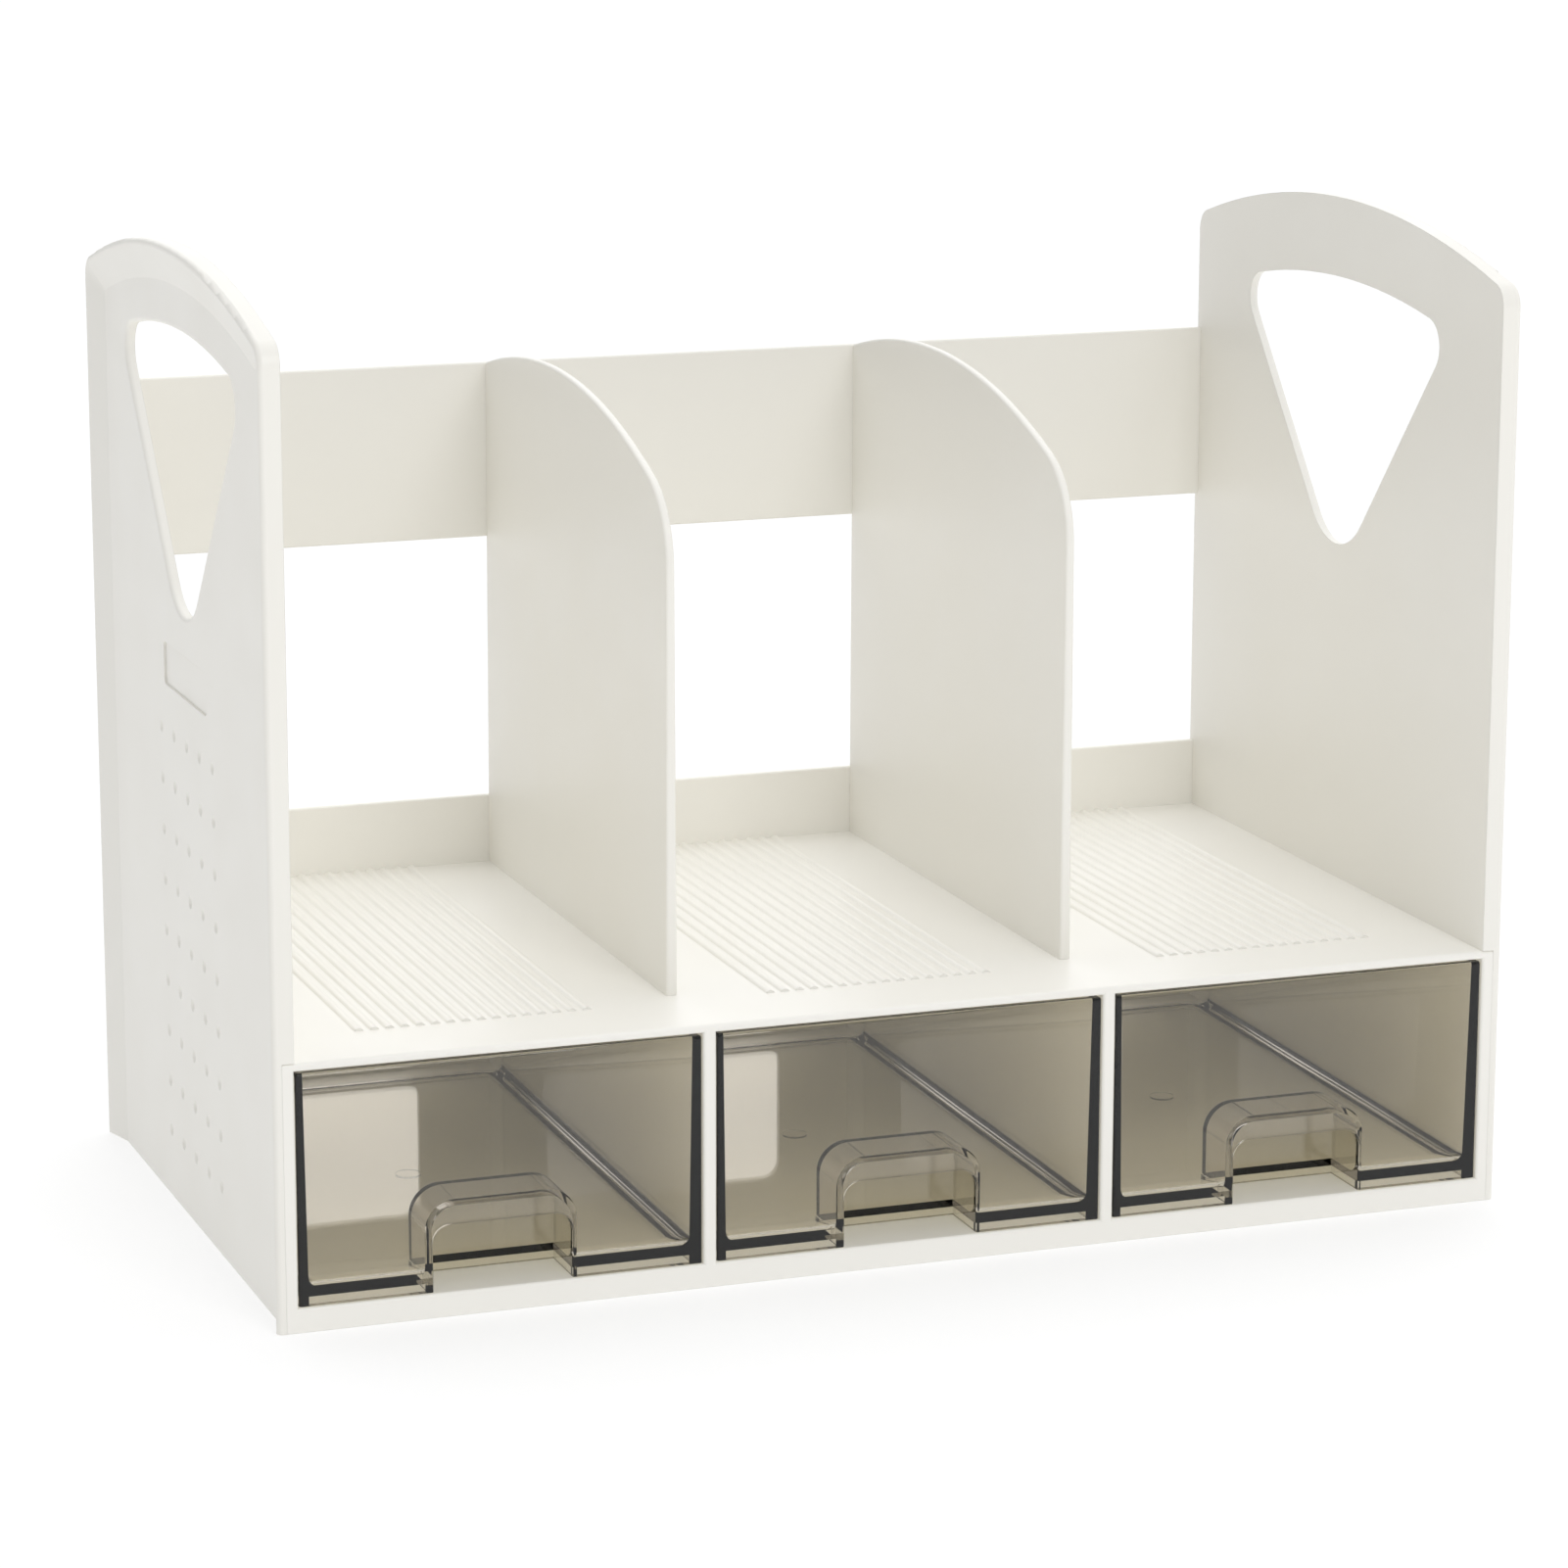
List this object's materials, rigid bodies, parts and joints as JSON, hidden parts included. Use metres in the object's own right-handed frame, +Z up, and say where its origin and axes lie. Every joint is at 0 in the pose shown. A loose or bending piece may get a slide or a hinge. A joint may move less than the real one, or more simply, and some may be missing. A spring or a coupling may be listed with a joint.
{
  "type": "desktop file organizer with drawers",
  "caption": "Free-standing desk organizer: upright file bays between crowned side panels with hand cut-outs, over clear drawers that slide out of a moulded case.",
  "frame": {"origin": "on the desk, under the middle of the object", "axes": "+X to the right seen from the front, +Y towards the back, +Z up; the drawers open towards -Y"},
  "size_m": [0.4, 0.225, 0.3093],
  "materials": {
    "ivory": "satin moulded",
    "smoke_clear": "clear smoke-tinted moulded plastic",
    "pad": "matt"
  },
  "bodies": {
    "frame": {"right_side_panel": "ivory", "left_side_panel": "ivory", "drawer_case": "ivory", "back_panel": "ivory", "back_rail": "ivory", "divider_left": "ivory", "divider_right": "ivory", "anti_slip_pad_front_left": "pad", "anti_slip_pad_front_right": "pad", "anti_slip_pad_back_left": "pad", "anti_slip_pad_back_right": "pad"},
    "drawer_left": {"drawer_left": "smoke_clear"},
    "drawer_middle": {"drawer_middle": "smoke_clear"},
    "drawer_right": {"drawer_right": "smoke_clear"}
  },
  "joints": [
    {"name": "drawer_left_slide", "type": "slide", "parent": "frame", "child": "drawer_left", "axis": [0, -1, 0], "range_m": [0, 0.165]},
    {"name": "drawer_middle_slide", "type": "slide", "parent": "frame", "child": "drawer_middle", "axis": [0, -1, 0], "range_m": [0, 0.165]},
    {"name": "drawer_right_slide", "type": "slide", "parent": "frame", "child": "drawer_right", "axis": [0, -1, 0], "range_m": [0, 0.165]}
  ]
}
